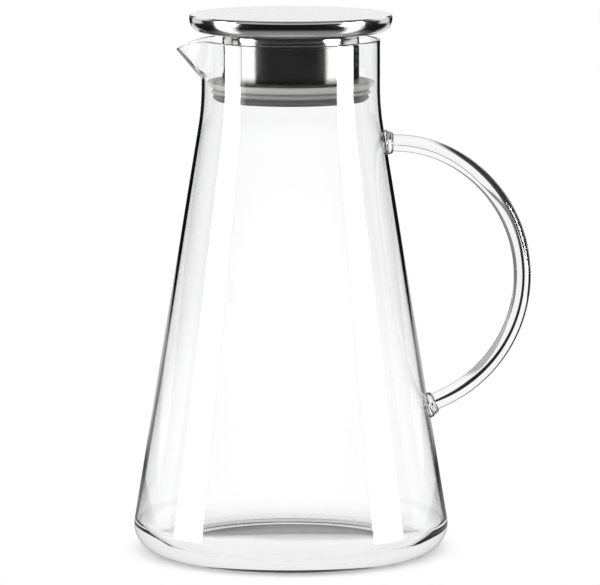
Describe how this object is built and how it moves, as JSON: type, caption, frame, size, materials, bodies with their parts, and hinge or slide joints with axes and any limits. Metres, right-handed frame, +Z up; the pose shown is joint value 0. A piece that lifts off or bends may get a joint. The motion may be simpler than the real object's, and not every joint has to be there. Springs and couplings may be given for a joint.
{
  "type": "glass pitcher with lid",
  "caption": "Tapered clear glass pitcher with a pulled spout, bent glass rod handle and a lift-off steel lid on a strainer stem with a silicone seal",
  "frame": {"origin": "on the jug's axis, in the plane of the flat ring it stands on", "axes": "+Z up along the jug's axis, -X to the spout, +X to the handle, +Y completes a right-handed frame"},
  "size_m": [0.1892, 0.15, 0.256],
  "materials": {
    "jug_glass": "clear blown borosilicate glass, fire-polished rim",
    "satin_steel": "stainless steel, satin brushed top",
    "bright_steel": "stainless steel, polished",
    "carrier_plastic": "moulded, translucent grey",
    "seal_silicone": "soft translucent grey silicone"
  },
  "bodies": {
    "jug": {"jug_body": "jug_glass", "handle_rod": "jug_glass", "upper_handle_weld": "jug_glass", "lower_handle_weld": "jug_glass"},
    "seal": {"seal_ring": "seal_silicone", "seal_carrier": "carrier_plastic"},
    "lid": {"lid_top_plate": "satin_steel", "lid_under_pan": "bright_steel", "strainer_stem": "bright_steel"}
  },
  "joints": [
    {"name": "lid_lift", "type": "slide", "parent": "jug", "child": "seal", "axis": [0, 0, 1], "range_m": [0, 0.06]},
    {"name": "lid_turn", "type": "hinge", "parent": "seal", "child": "lid", "pos_m": [0, 0, 0.22], "axis": [0, 0, 1], "continuous": true}
  ]
}
